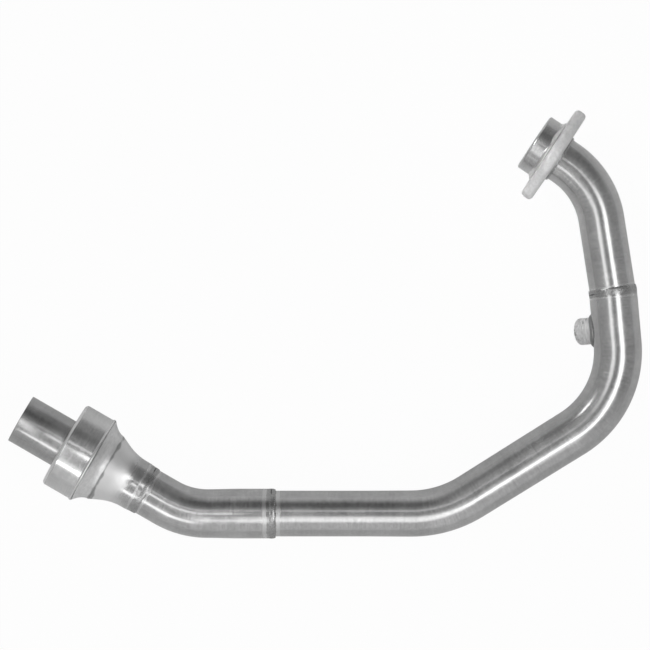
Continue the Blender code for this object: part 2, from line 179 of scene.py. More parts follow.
class DrumSizes(PropertyGroup):
    cup: length("Cup", "Outside diameter of the drum", 68.4)
    cup_length: length("Cup length", "Length of the pressed cup", 25.8)
    cap_length: length("Cap length", "Length of the spun cap", 11.4)
    mouth: length("Cone mouth", "Diameter of the cone where it meets the cap", 54.0)
    cone_length: length("Cone length", "Length of the flare", 16.8)
    neck_length: length("Neck length", "Length of the cone's neck", 15.8)
    stub: length("Stub", "Outside diameter of the outlet stub", 38.4)
    stub_length: length("Stub length", "How far the stub stands out", 37.8)


class Finishes(PropertyGroup):
    tube: tone("Tube steel", "Colour of the satin tube", 0.56)
    turned: tone("Turned steel", "Colour of ring and bung", 0.62)
    flange: tone("Flange steel", "Colour of the matt flange and the bung", 0.8)
    weld: tone("Weld metal", "Colour of the beads", 0.42)
    roughness: amount("Roughness", "Roughness of the satin tube", 0.22, min=0.0, max=1.0,
                      subtype="FACTOR")


class Studio(PropertyGroup):
    distance: amount("Camera distance", "From the pipe's plane", 5.0, unit="LENGTH")
    width: length("View width", "What the picture spans at the pipe", 494.65)
    lamps: amount("Lamp distance", "From the middle of the pipe", 4.0, unit="LENGTH")
    strip: amount("Strip radiance", "Brightness of the strip lamps", 2.3, min=0.0)
    overhead: amount("Overhead radiance", "Brightness of the top lamps", 1.7, min=0.0)
    room: amount("Room", "Brightness of the room round the pipe", 0.58, min=0.0)


SETTINGS = {"header_tubes": TubeSizes, "header_port": PortSizes, "header_bung": BungSizes,
            "header_drum": DrumSizes, "header_finishes": Finishes, "header_studio": Studio}


# Frame

def resting_frame():
    """Matrix from the pipe's plane to the world, from the record's port and outlet mounts."""
    scene = bpy.context.scene
    port, drum, tubes = scene.header_port, scene.header_drum, scene.header_tubes
    mounts = {mount["name"]: mount for mount in frame["record"]["mounts"]}
    nose = -port.thickness / 2 - GAP - port.ring_length
    # each mount's point lies off the centreline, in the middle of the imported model's flat ring,
    # whose rounded edges are left out of it
    nose_edges, stub_middle = 3.6 * MM, 0.8 * MM
    port_land = (tubes.upper / 2 - tubes.wall + port.ring / 2 - nose_edges) / 2
    stub_land = drum.stub / 2 - stub_middle
    ends = ((nose, port_land, "port_ring_face"), (stub_end(), stub_land, "outlet_face"))
    planned = [section(station) @ Vector((0.0, land, 0.0)) for station, land, _ in ends]
    placed = [Vector(mounts[name]["pos_m"]) for _, _, name in ends]

    def lying(across, along):
        x = across.normalized()
        return axes(x, x.cross(along).normalized())

    plane = lying(planned[0] - planned[1], -locate(0.0)[1])
    world = lying(placed[0] - placed[1], Vector(mounts["port_ring_face"]["axis"]))
    turn = (world @ plane.transposed()).to_4x4()
    return Matrix.Translation(placed[1] - turn @ planned[1]) @ turn


def cone_end():
    """Station of the cone's mouth; the cap, the cup and the stub follow from it."""
    drum = bpy.context.scene.header_drum
    return JOINT_3 + drum.neck_length + drum.cone_length


def cup_start():
    return cone_end() + bpy.context.scene.header_drum.cap_length + 2 * GAP


def cup_front():
    return cup_start() + bpy.context.scene.header_drum.cup_length


def stub_end():
    return cup_front() + bpy.context.scene.header_drum.stub_length


def bung_frame():
    """Matrix of the sensor bung: Z outward, leaning below the pipe's plane."""
    bung = bpy.context.scene.header_bung
    across, drop = math.cos(bung.lean), math.sin(bung.lean)
    turn = Matrix(((0.0, drop, across), (0.0, -across, drop), (1.0, 0.0, 0.0)))
    return resting_frame() @ section(JOINT_1 + bung.station) @ turn.to_4x4()


# Node trees

def both_ways(operation):
    """An operator's plain form and its reflected form."""
    return (lambda value, other: value.math(operation, value, other),
            lambda value, other: value.math(operation, other, value))


class Value:
    """A socket that can stand in an expression; each operator adds its Math node."""

    def __init__(self, tree, socket):
        self.tree, self.socket = tree, socket

    def math(self, operation, *values):
        return self.tree.node("ShaderNodeMath", {"operation": operation},
                              dict(enumerate(values)))

    __add__, __radd__ = both_ways("ADD")
    __sub__, __rsub__ = both_ways("SUBTRACT")
    __mul__, __rmul__ = both_ways("MULTIPLY")
    __truediv__, __rtruediv__ = both_ways("DIVIDE")

    def __abs__(self):
        return self.math("ABSOLUTE", self)

    def power(self, other):
        return self.math("POWER", self, other)

    def high(self, other):
        return self.math("MAXIMUM", self, other)

    def falls(self, start, end):
        """1 below start, 0 above end, smooth between."""
        return self.tree.node("ShaderNodeMapRange", {"interpolation_type": "SMOOTHSTEP"},
                              {0: self, 1: start, 2: end, 3: 1.0, 4: 0.0})


class Tree:
    """A node tree, with the one method that puts a node in it."""

    def __init__(self, group):
        self.group = group

    def node(self, kind, settings=None, inputs=None, output=0):
        made = self.group.nodes.new(kind)
        for key, value in (settings or {}).items():
            setattr(made, key, value)
        for key, value in (inputs or {}).items():
            if isinstance(value, Value):
                self.group.links.new(value.socket, made.inputs[key])
            else:
                made.inputs[key].default_value = value
        return None if output is None else Value(self, made.outputs[output])


def emptied(owner):
    """The node tree of a material or a world, with nothing in it."""
    owner.use_nodes = True
    owner.node_tree.nodes.clear()
    return Tree(owner.node_tree)


# Geometry Nodes

def node_group(name, **sockets):
    """A Geometry Nodes tree with named inputs, its line as a curve, and those inputs."""
    group = bpy.data.node_groups.new(name, "GeometryNodeTree")
    group.interface.new_socket("Geometry", in_out="OUTPUT", socket_type="NodeSocketGeometry")
    for label, kind in {"Geometry": "Geometry", **sockets, "Material": "Material"}.items():
        group.interface.new_socket(label, in_out="INPUT", socket_type="NodeSocket" + kind)
    tree = Tree(group)
    entry = group.nodes.new("NodeGroupInput")
    given = {socket.name: Value(tree, socket) for socket in entry.outputs if socket.name}
    line = tree.node("GeometryNodeMeshToCurve", None, {"Mesh": given["Geometry"]})
    return tree, line, given


def attribute(tree, name, kind="FLOAT"):
    return tree.node("GeometryNodeInputNamedAttribute", {"data_type": kind}, {"Name": name})


def stored(tree, geometry, name, vector):
    return tree.node("GeometryNodeStoreNamedAttribute",
                     {"data_type": "FLOAT_VECTOR", "domain": "POINT"},
                     {"Geometry": geometry, "Name": name, "Value": vector})


def rimmed_circle(tree, sides, radius):
    """Circle whose points keep their place on it, as rim."""
    circle = tree.node("GeometryNodeCurvePrimitiveCircle", {"mode": "RADIUS"},
                       {"Resolution": sides, "Radius": radius})
    return stored(tree, circle, "rim", tree.node("GeometryNodeInputPosition"))


def end_group(tree, mesh, x, y, z, given):
    """Keeps the mesh's own coordinates; ends the tree in Realize Instances and Set Material."""
    own = tree.node("ShaderNodeCombineXYZ", None, {"X": x, "Y": y, "Z": z})
    smooth = tree.node("GeometryNodeSetShadeSmooth", None,
                       {"Geometry": stored(tree, mesh, "own", own)})
    real = tree.node("GeometryNodeRealizeInstances", None, {"Geometry": smooth})
    dressed = tree.node("GeometryNodeSetMaterial", None,
                        {"Geometry": real, "Material": given["Material"]})
    tree.node("NodeGroupOutput", None, {"Geometry": dressed}, None)
    return tree.group


def parts_of(tree, vector):
    split = tree.node("ShaderNodeSeparateXYZ", None, {"Vector": vector})
    return [Value(tree, socket) for socket in split.socket.node.outputs]


def swept_tube_group():
    """Skin of a tube along a line whose points carry girth, its radius, and run."""
    tree, line, given = node_group("swept tube", Sides="Int", Caps="Bool")
    girth = attribute(tree, "girth")
    skin = tree.node("GeometryNodeCurveToMesh", None,
                     {"Curve": line, "Profile Curve": rimmed_circle(tree, given["Sides"], 1.0),
                      "Scale": girth, "Fill Caps": given["Caps"]})
    x, y, _ = parts_of(tree, attribute(tree, "rim", "FLOAT_VECTOR"))
    return end_group(tree, skin, x * girth, y * girth, attribute(tree, "run"), given)


def rippled_bead_group():
    """Weld bead along a closed line: a flattened round with crescent ripples."""
    tree, line, given = node_group("rippled bead", Width="Float", Height="Float",
                                   Ripples="Int", Depth="Float", Bow="Float", Sides="Int")
    line = tree.node("GeometryNodeSetCurveNormal", {"mode": "FREE"},
                     {"Curve": line, "Normal": attribute(tree, "out", "FLOAT_VECTOR")})
    size = tree.node("ShaderNodeCombineXYZ", None,
                     {"X": given["Height"], "Y": given["Width"], "Z": 1.0})
    circle = tree.node("GeometryNodeTransform", None,
                       {"Geometry": rimmed_circle(tree, given["Sides"], 0.5), "Scale": size})
    bead = tree.node("GeometryNodeCurveToMesh", None,
                     {"Curve": line, "Profile Curve": circle, "Fill Caps": False})
    up, across, _ = parts_of(tree, attribute(tree, "rim", "FLOAT_VECTOR"))
    turn = attribute(tree, "turn")
    # each ripple is a shallow scale whose front bows forward in the middle of the bead
    phase = turn * given["Ripples"] + given["Bow"] * across * across
    saw = phase - phase.math("FLOOR", phase)
    scale = given["Depth"] * (saw.power(0.6) - 0.5)
    away = tree.node("GeometryNodeInputNormal")
    push = tree.node("ShaderNodeVectorMath", {"operation": "SCALE"}, {0: away, "Scale": scale})
    bead = tree.node("GeometryNodeSetPosition", None, {"Geometry": bead, "Offset": push})
    return end_group(tree, bead, up, across, turn, given)


TREES = {"swept tube": swept_tube_group, "rippled bead": rippled_bead_group}


# Meshes

def linked(name, data):
    obj = bpy.data.objects.new(name, data)
    bpy.context.scene.collection.objects.link(obj)
    return obj


def closed_work(name, work):
    """Mesh of a bmesh, which ends here."""
    mesh = bpy.data.meshes.new(name)
    work.to_mesh(mesh)
    work.free()
    return mesh


def keep_vectors(mesh, label, vectors):
    layer = mesh.attributes.new(label, "FLOAT_VECTOR", "POINT")
    layer.data.foreach_set("vector", [x for vector in vectors for x in vector])


def round_circle(count):
    """Cosine and sine of each step round a circle."""
    return [(math.cos(a), math.sin(a)) for a in (2 * math.pi * k / count for k in range(count))]


def baked(obj, kind, settings, inputs=None):
    """Gives the object a modifier, and keeps what that makes as the object's plain mesh."""
    modifier = obj.modifiers.new(kind, kind)
    for key, value in settings.items():
        setattr(modifier, key, value)
    for key, value in (inputs or {}).items():
        modifier[key] = value
    bpy.context.view_layer.update()
    graph = bpy.context.evaluated_depsgraph_get()
    mesh = bpy.data.meshes.new_from_object(obj.evaluated_get(graph), depsgraph=graph,
                                           preserve_all_data_layers=True)
    mesh.name = obj.name
    obj.modifiers.clear()
    obj.data = mesh
    if not mesh.polygons:
        raise RuntimeError(obj.name + " came out empty")


def grown(name, points, carried, closed, tree, values):
    """What a node tree makes of a line of edges, whose points carry some attributes."""
    mesh, count = bpy.data.meshes.new(name), len(points)
    edges = [(i, (i + 1) % count) for i in range(count if closed else count - 1)]
    mesh.from_pydata([tuple(point) for point in points], edges, [])
    for label, numbers in carried.items():
        if hasattr(numbers[0], "__len__"):
            keep_vectors(mesh, label, numbers)
        else:
            mesh.attributes.new(label, "FLOAT", "POINT").data.foreach_set("value", numbers)
    obj = linked(name, mesh)
    group = bpy.data.node_groups.get(tree) or TREES[tree]()
    inputs = {item.identifier: values[item.name] for item in group.interface.items_tree
              if item.in_out == "INPUT" and item.name in values}
    baked(obj, "NODES", {"node_group": group}, inputs)
    return obj


def facing_out(mesh, inside_out=None):
    """Turns a mesh right side out; a closed one shows by its volume whether it needs that."""
    work = bmesh.new()
    work.from_mesh(mesh)
    if inside_out is None:
        inside_out = work.calc_volume(signed=True) < 0.0
    if inside_out:
        bmesh.ops.reverse_faces(work, faces=work.faces)
    work.to_mesh(mesh)
    work.free()


def seated(obj, node, sharp=35.0):
    """Turns faces outward, keeps creases, and hands the piece over, to stand for its node."""
    facing_out(obj.data)
    obj.data.shade_smooth()
    obj.data.set_sharp_from_angle(angle=math.radians(sharp))
    for label in ("rim", "out", "turn", "run", "girth"):
        if label in obj.data.attributes:
            obj.data.attributes.remove(obj.data.attributes[label])
    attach(obj, "root")
    if node:
        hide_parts(node)


def rounded(points, steps=5):
    """Profile whose corners, given as (radius, height, fillet), are drawn as arcs."""
    made = []
    for i, (x, y, fillet) in enumerate(points):
        here = Vector((x, y))
        before = Vector(points[i - 1][:2]) - here
        after = Vector(points[(i + 1) % len(points)][:2]) - here
        half = before.angle(after) / 2
        if fillet <= 0.0:
            made.append((x, y))
            continue
        # two arcs never meet on a side
        reach = min(fillet / math.tan(half), 0.49 * before.length, 0.49 * after.length)
        before, after = before.normalized() * reach, after.normalized() * reach
        middle = here + (before + after).normalized() * (reach / math.cos(half))
        first = here + before - middle
        sweep = first.angle_signed(here + after - middle)
        for k in range(steps + 1):
            spoke = first.copy()
            spoke.rotate(Matrix.Rotation(-sweep * k / steps, 2))
            made.append(tuple(middle + spoke))
    return made


def arc(centre, radius, start, end, count):
    angles = [math.radians(start + (end - start) * i / count) for i in range(count + 1)]
    return [(centre[0] + radius * math.cos(a), centre[1] + radius * math.sin(a)) for a in angles]


def turned_object(name, profile, placement, station, steps, look):
    """Object turned from a closed profile, with its own coordinates kept as an attribute."""
    points, faces = [], []
    count = len(profile)
    for k, (cosine, sine) in enumerate(round_circle(steps)):
        here, beyond = k * count, (k + 1) % steps * count
        for i, (r, z) in enumerate(profile):
            points.append(Vector((r * cosine, r * sine, z)))
            after = (i + 1) % count
            faces.append((here + i, here + after, beyond + after, beyond + i))
    mesh = bpy.data.meshes.new(name)
    mesh.from_pydata([tuple(placement @ point) for point in points], [], faces)
    keep_vectors(mesh, "own", [(point.x, point.y, point.z + station) for point in points])
    mesh.materials.append(finish(look))
    return linked(name, mesh)


def turned(name, node, profile, station, look, slot="tube_steel"):
    """Piece turned about the centreline from a closed profile that starts at a station."""
    placement = resting_frame() @ section(station)
    seated(turned_object(name, profile, placement, station, TURN_STEPS, look), node)


def cut(obj, cutter):
    """Takes a closed cutter out of the object."""
    facing_out(obj.data)
    facing_out(cutter.data)
    baked(obj, "BOOLEAN", {"operation": "DIFFERENCE", "solver": "EXACT", "object": cutter})
    bpy.data.objects.remove(cutter, do_unlink=True)


# Finishes

def scaled(colour, share):
    return (*[min(1.0, channel * share) for channel in colour], 1.0)


def metal(name, colour, roughness, grain, spread, speckle, bump, zones=(), metallic=1.0,
          matt=None, crevice_shade=(), painted_highlights=(), middle=0.0):
    """Metal with streaks, clouds and fine speckle, and the traces of its welds.

    grain scales the piece's own coordinates, per metre; streaks lie across its largest one.
    spread is how far colour and roughness vary. zones are stations of welds, with the half width
    of the tinted band, that of the brushed ring outside it and the ring's share. matt is two
    stations between which the metal turns rougher by a third number, and is painted lighter, as
    painted light. seams are stations with the half width of an uneven dark line of painted shade
    in a crevice, ground those of a nearly white painted highlight along an edge.
    middle is the half width of a broken dark line along a bead's middle.
    """
    made = bpy.data.materials.new(name)
    tree = emptied(made)
    own = tree.node("ShaderNodeAttribute", {"attribute_name": "own"}, None, "Vector")
    _, across, station = parts_of(tree, own)

    def noise(scale, detail, stretch=(1.0, 1.0, 1.0)):
        place = tree.node("ShaderNodeVectorMath", {"operation": "MULTIPLY"},
                          {0: own, 1: stretch})
        return tree.node("ShaderNodeTexNoise", None,
                         {"Vector": place, "Scale": scale, "Detail": detail, "Roughness": 0.6})

    def laid(over, share, shine):
        """Lays the metal's colour, so many times as light, over a colour by a share."""
        return tree.node("ShaderNodeMix", {"data_type": "RGBA"},
                         {0: share, 6: over, 7: scaled(colour, shine)}, 2)

    streak = noise(1.0, 4.0, grain)
    cloud = noise(45.0, 2.0)
    fine = noise(speckle, 3.0)
    mix = (streak - 0.5) * 0.8 + (cloud - 0.5) * 0.9 + (fine - 0.5) * 0.6
    shade = laid(scaled(colour, 0.65), mix * spread + 0.5, 1.35)
    rough = roughness + mix * (0.16 * spread)
    # painted light: between the stations the metal is painted lighter, as well as rougher
    if matt:
        start, end, rise = matt
        share = 1.0 - (station + (cloud - 0.5) * 8.0 * MM).falls(start, end)
        rough = rough + share * rise
        shade = laid(shade, share * 0.8, 1.65)
    # uneven dark lines of painted shade, in the crevices between pieces
    for place, half in crevice_shade:
        line = (abs(station - place) + (cloud - 0.5) * 6.0 * half).falls(half * 0.2, half)
        line = line * (cloud.falls(0.46, 0.58) * 0.75 + 0.25)
        shade = laid(shade, line * 0.6, 0.25)
    if middle:
        line = abs(across + (fine - 0.5) * 0.3).falls(middle * 0.5, middle)
        broken = 1.0 - noise(1.0, 1.0, (0.0, 0.0, 9.0)).falls(0.5, 0.58)
        shade = laid(shade, line * broken * 0.85, 0.2)
    for place, half in painted_highlights:
        line = abs(station - place).falls(half * 0.7, half)
        # painted highlight along an edge, nearly white
        shade = laid(shade, line * 0.85, 0.97 / colour[0])
        rough = rough + line * 0.15
    tint = ring = None
    for place, band, outer, share in zones:
        far = abs(station - place) + (fine - 0.5) * 1.6 * MM
        dark = far.falls(band * 0.7, band * 1.15)
        far = far + (cloud - 0.5) * 4.0 * MM
        light = far.falls(outer * 0.92, outer * 1.2) * (1.0 - far.falls(band * 0.9, band * 1.1))
        light = light * (share + (cloud - 0.5) * 1.2 * share)
        tint = dark if tint is None else tint.high(dark)
        ring = light if ring is None else ring.high(light)
    if zones:
        shade = laid(laid(shade, ring, 1.45), tint * 0.5, 0.6)
        rough = rough + ring * 0.16
    height = streak * 0.6 + fine * 0.4
    normal = tree.node("ShaderNodeBump", None,
                       {"Strength": bump, "Distance": 0.08 * MM, "Height": height}, "Normal")
    shader = tree.node("ShaderNodeBsdfPrincipled", None,
                       {"Base Color": shade, "Metallic": metallic, "Roughness": rough,
                        "Normal": normal})
    tree.node("ShaderNodeOutputMaterial", None, {"Surface": shader}, None)
    return made


ZONES = ((JOINT_1, 3.4 * MM, 4.8 * MM, 0.3), (JOINT_2, 3.6 * MM, 6.2 * MM, 0.65),
         (JOINT_3, 3.4 * MM, 4.8 * MM, 0.5))


def finish(name):
    """One of the part's metals, in the colours and the roughness that the user gives."""
    look = bpy.context.scene.header_finishes
    seat = -bpy.context.scene.header_port.thickness / 2
    spun, bead = (80.0, 80.0, 1700.0), (3.0, 3.0, 60.0)
    # colour, how many times as light, roughness, grain, spread, speckle, bump and traces
    rows = {
        "satin_tube": (
            look.tube, 1.0, look.roughness, (70.0, 70.0, 1500.0), 0.8, 450.0, 0.14,
            {"zones": ZONES}),
        "satin_turned": (
            look.turned, 1.0, 0.24, (120.0, 120.0, 4000.0), 0.9, 600.0, 0.14,
            # the ring's shoulder by the flange is rougher and painted lighter, painted light over
            # the flange's shade; the bung's thread lies wholly past these stations
            {"matt": (seat - 3.6 * MM, seat - 2.0 * MM, 0.25)}),
        "satin_pressing": (
            look.tube, 1.34, look.roughness - 0.02, spun, 0.7, 500.0, 0.14,
            # painted highlights: nearly white lines on the cup's front edge and on its lip
            {"painted_highlights": ((cup_front() - 1.2 * MM, 1.5 * MM), (cup_start() + 0.5 * MM, 0.7 * MM))}),
        "satin_stub": (look.tube, 0.9, look.roughness + 0.02, spun, 0.7, 500.0, 0.14, {}),
        "satin_cone": (
            look.tube, 1.0, look.roughness, spun, 0.8, 400.0, 0.16,
            # a line of painted shade in the crevice where the cone meets the cap
            {"zones": ZONES[2:], "crevice_shade": ((cone_end(), 1.3 * MM),),
             # past its neck the cone is rougher, and painted lighter as painted sheen
             "matt": (JOINT_3 + 9.0 * MM, JOINT_3 + 22.0 * MM, 0.24)}),
        "matt_spinning": (
            look.flange, 1.0, 0.42, (150.0, 150.0, 900.0), 0.9, 350.0, 0.3,
            {"metallic": 0.75,
             # lines of painted shade in the crevices where the cap meets the cone and the cup
             "crevice_shade": ((cone_end() + GAP, 1.0 * MM), (cup_start(), 0.9 * MM))}),
        "matt_bung": (
            look.flange, 1.2, 0.34, (400.0, 400.0, 400.0), 2.2, 420.0, 0.4, {"metallic": 0.5}),
        "blasted_flange": (
            look.flange, 1.12, 0.46, (250.0, 250.0, 250.0), 0.8, 500.0, 0.4,
            {"metallic": 0.3}),
        # the bung's bead: weld metal, painted darker still as shade at the bung's foot
        "painted_shade_bead": (look.weld, 0.8, 0.36, bead, 0.9, 9.0, 0.2, {}),
        "bead_metal": (look.weld, 1.0, 0.27, bead, 0.9, 9.0, 0.2, {"middle": 0.11}),
    }
    colour, light, *numbers, traces = rows[name]
    colour = [channel * light for channel in colour]
    return bpy.data.materials.get(name) or metal(name, colour, *numbers, **traces)


# Operators

def share_of(place, start, end):
    """0 before start, 1 after end, even between."""
    return min(1.0, max(0.0, (place - start) / (end - start)))


def tube_piece(name, node, start, end, radius_at, cutter=None):
    """Hollow tube along the centreline, swept by its node tree and given its wall."""
    tubes, rest = bpy.context.scene.header_tubes, resting_frame()
    count = max(2, round((end - start) / (2.0 * MM)))
    marks = [start + (end - start) * i / count for i in range(count + 1)]
    obj = grown(name, [rest @ locate(s)[0] for s in marks],
                {"girth": [radius_at(s) for s in marks], "run": marks}, False, "swept tube",
                {"Sides": tubes.sides, "Caps": False, "Material": finish("satin_tube")})
    face = obj.data.polygons[0]
    facing_out(obj.data, face.normal.dot(face.center - rest @ locate(start)[0]) < 0.0)
    baked(obj, "SOLIDIFY", {"thickness": tubes.wall, "offset": -1.0, "use_even_offset": True})
    if cutter:
        cut(obj, cutter)
    seated(obj, node)


def capped(name, rings):
    """Closed object of rings of points, joined one to the next and filled at both ends."""
    work = bmesh.new()
    rings = [[work.verts.new(point) for point in ring] for ring in rings]
    for low, high in zip(rings, rings[1:]):
        for i in range(len(low)):
            after = (i + 1) % len(low)
            work.faces.new((low[i], low[after], high[after], high[i]))
    work.faces.new(rings[0][::-1])
    work.faces.new(rings[-1])
    # the oval's arcs meet in the same points
    bmesh.ops.remove_doubles(work, verts=work.verts, dist=0.002 * MM)
    return linked(name, closed_work(name, work))


def plug(profile, placement, steps):
    """Cutter turned from a profile of its outer side, its ends filled."""
    return capped("cutter", [[placement @ Vector((r * x, r * y, z))
                              for x, y in round_circle(steps)] for r, z in profile])


def ring_bead(name, node, station, radius, width, height, ripples):
    """Bead round the tube at a station, its middle at a radius."""
    placement = resting_frame() @ section(station)
    spokes = [Vector((x, y, 0.0)) for x, y in round_circle(ripples * RIPPLE_STEPS)]
    bead_piece(name, node, [placement @ (spoke * radius) for spoke in spokes],
               [placement.to_3x3() @ spoke for spoke in spokes], width, height, ripples)


def bead_piece(name, node, points, outs, width, height, ripples, material="bead_metal"):
    """Bead along a closed line of points, with the direction of its crown at each."""
    count = len(points)
    obj = grown(name, points, {"out": outs, "turn": [k / count for k in range(count)]}, True,
                "rippled bead",
                {"Width": width, "Height": height, "Ripples": ripples, "Depth": 0.1 * MM,
                 "Bow": 3.0, "Sides": 18, "Material": finish(material)})
    seated(obj, node, 60.0)


class HEADER_OT_port_ring(Operator):
    """Turned ring that seats in the cylinder head's port"""
    bl_idname = "header.port_ring"
    bl_label = "Port ring"

    def execute(self, context):
        port, tubes = context.scene.header_port, context.scene.header_tubes
        seat = -port.thickness / 2 - GAP
        nose = seat - port.ring_length
        step = nose + THROAT
        bore, throat = tubes.upper / 2 + FIT, tubes.upper / 2 - tubes.wall
        r, shoulder = port.ring / 2, port.shoulder / 2
        land, fillet, chamfer = 0.6 * MM, 2.2 * MM, 0.6 * MM
        profile = [(shoulder, seat)]
        profile += [(r + (shoulder - r) * (1 - y), seat - land - fillet * i / 8)
                    for i, (_, y) in enumerate(arc((0.0, 0.0), 1.0, 0.0, 90.0, 8))]
        # the nose is rounded deeper across than along, so the turned side runs nearly to its edge
        profile += [(r - port.nose_round * (1 - x), nose + port.nose_round * 0.42 * (1 - y))
                    for x, y in arc((0.0, 0.0), 1.0, 0.0, 90.0, 10)]
        profile += [(throat + chamfer, nose), (throat, nose + chamfer), (throat, step),
                    (bore, step), (bore, seat)]
        turned("machined_port_ring", "port_ring", profile, 0.0, "satin_turned", "turned_steel")
        return {"FINISHED"}


class HEADER_OT_head_flange(Operator):
    """Two-stud flange with rounded edges, its stud holes and the bead behind it"""
    bl_idname = "header.head_flange"
    bl_label = "Head flange"

    def execute(self, context):
        port, tubes = context.scene.header_port, context.scene.header_tubes
        reach = port.studs / 2
        lean = math.degrees(math.acos((port.boss - port.lobe) / reach))
        half, rounding = port.thickness / 2, port.edge_round
        sides = ((reach, port.lobe, -lean, lean), (0.0, port.boss, lean, 180.0 - lean),
                 (-reach, port.lobe, 180.0 - lean, 180.0 + lean),
                 (0.0, port.boss, 180.0 + lean, 360.0 - lean))
        levels = [(rounding * (1 - y), -half + rounding * (1 - x))
                  for x, y in arc((0.0, 0.0), 1.0, 0.0, 90.0, 8)]
        levels += [(inset, -z) for inset, z in reversed(levels)]
        obj = capped("stud_flange", [
            [(x, y, z) for middle, radius, start, end in sides
             for x, y in arc((middle, 0.0), radius - inset, start, end, 20)]
            for inset, z in levels])
        obj.data.materials.append(finish("blasted_flange"))
        over, chamfer, mouth = half + 1.0 * MM, 0.5 * MM, 1.5 * MM
        for place, radius in ((0.0, tubes.upper / 2 + FIT), (reach, port.stud_hole / 2),
                              (-reach, port.stud_hole / 2)):
            spool = [(radius + mouth, -over), (radius, chamfer - half),
                     (radius, half - chamfer), (radius + mouth, over)]
            cut(obj, plug(spool, Matrix.Translation((place, 0.0, 0.0)), 64))
        keep_vectors(obj.data, "own", [vertex.co.copy() for vertex in obj.data.vertices])
        obj.data.transform(resting_frame() @ section(0.0))
        seated(obj, "head_flange", 30.0)
        ring_bead("flange_bead", "flange_weld", half + 0.4 * MM, tubes.upper / 2 + 0.3 * MM,
                  3.0 * MM, 2.4 * MM, 64)
        return {"FINISHED"}


class HEADER_OT_tubes(Operator):
    """Upper, lower and rear tubes, hollow all the way"""
    bl_idname = "header.tubes"
    bl_label = "Bent tubes"

    def execute(self, context):
        tubes, port = context.scene.header_tubes, context.scene.header_port
        start = -port.thickness / 2 - port.ring_length + THROAT

        def lower_radius(s):
            t = share_of(s, BEND_2_END, BEND_3_END + NARROWING)
            return (tubes.lower + (tubes.lower_end - tubes.lower) * t) / 2

        def rear_radius(s):
            t = share_of(s, JOINT_2 + SOCKET, JOINT_2 + 2 * SOCKET)
            return (tubes.socket + (tubes.rear - tubes.socket) * t * t * (3 - 2 * t)) / 2

        tube_piece("upper_tube", "upper_pipe", start, JOINT_1, lambda s: tubes.upper / 2)
        bore = context.scene.header_bung.bore / 2
        hole = plug([(bore, 0.0), (bore, tubes.lower * 0.75)], bung_frame(), 48)
        tube_piece("lower_tube", "lower_pipe", JOINT_1, JOINT_2 + SLIP, lower_radius, hole)
        tube_piece("rear_tube", "rear_pipe", JOINT_2, JOINT_3 + NECK_SLIP, rear_radius)
        return {"FINISHED"}


class HEADER_OT_beads(Operator):
    """Rippled weld beads where one tube meets the next"""
    bl_idname = "header.beads"
    bl_label = "Joint beads"

    def execute(self, context):
        tubes = context.scene.header_tubes
        neck = tubes.rear / 2 + GAP + NECK_EDGE
        for name, node, station, thin, thick in (
                ("upper_bead", "upper_weld", JOINT_1, tubes.upper / 2, tubes.lower / 2),
                ("middle_bead", "middle_weld", JOINT_2, tubes.lower_end / 2, tubes.socket / 2),
                ("rear_bead", "rear_weld", JOINT_3, tubes.rear / 2, neck)):
            middle, crown = (thin + thick) / 2, thick + 0.1 * MM
            ring_bead(name, node, station, middle, 6.4 * MM, 2 * (crown - middle), 84)
        return {"FINISHED"}


class HEADER_OT_sensor_bung(Operator):
    """Threaded sensor bung saddled on the lower tube, with the bead round its foot"""
    bl_idname = "header.sensor_bung"
    bl_label = "Sensor bung"

    def execute(self, context):
        bung, tube_r = context.scene.header_bung, context.scene.header_tubes.lower / 2
        placement = bung_frame()
        r, bore = bung.diameter / 2, bung.bore / 2
        top, foot = tube_r + bung.height, tube_r * 0.45
        profile = rounded([(r, top, 3.0 * MM), (r, foot, 0.0), (bore, foot, 0.0),
                           (bore, top - 1.2 * MM, 0.2 * MM), (bore + 1.0 * MM, top, 0.2 * MM)])
        obj = turned_object("bung_body", profile, placement, 0.0, 96, "matt_bung")
        saddle, reach = tube_r - FIT, 30.0 * MM
        cut(obj, plug([(saddle, -reach), (saddle, reach)],
                      resting_frame() @ section(JOINT_1 + bung.station), TURN_STEPS))
        seated(obj, "sensor_bung")

        # the thread begins just inside the bore
        first, turns = top - 1.4 * MM, (bung.height - 1.6 * MM) / bung.pitch
        count = int(turns * 40)
        helix = []
        for k in range(count + 1):
            turn = turns * k / count
            helix.append(placement @ (level(2 * math.pi * turn) * bore
                                      + Vector((0.0, 0.0, first - bung.pitch * turn))))
        thread = grown("bung_thread", helix,
                       {"girth": [0.42 * MM] * (count + 1),
                        "run": [k * 0.3 * MM for k in range(count + 1)]}, False, "swept tube",
                       {"Sides": 6, "Caps": True, "Material": finish("satin_turned")})
        seated(thread, None, 50.0)

        # the bead's line runs on a cylinder just over the tube's, so it rises and falls
        ring, over, ripples = r + 1.1 * MM, tube_r + 0.6 * MM, 44
        points, outs = [], []
        for x, y in round_circle(ripples * RIPPLE_STEPS):
            height = math.sqrt(over ** 2 - (ring * y) ** 2)
            points.append(placement @ Vector((ring * x, ring * y, height)))
            outs.append(placement.to_3x3() @ Vector((x, y, 1.0)).normalized())
        # this bead is painted darker than the others, as shade at the bung's foot
        bead_piece("bung_bead", "sensor_bung_weld", points, outs, 4.8 * MM, 3.2 * MM, ripples,
                   "painted_shade_bead")
        return {"FINISHED"}


def walled(outer, wall):
    """Profile of a shell: its outer side back from the far end, then its inner side."""
    # each inner point is as deep as its slope needs for the wall
    inner = []
    for i, (r, z) in enumerate(outer):
        r0, z0 = outer[max(0, i - 1)]
        r1, z1 = outer[min(len(outer) - 1, i + 1)]
        inner.append((r - wall * math.hypot(1.0, (r1 - r0) / (z1 - z0)), z))
    return outer[::-1] + inner


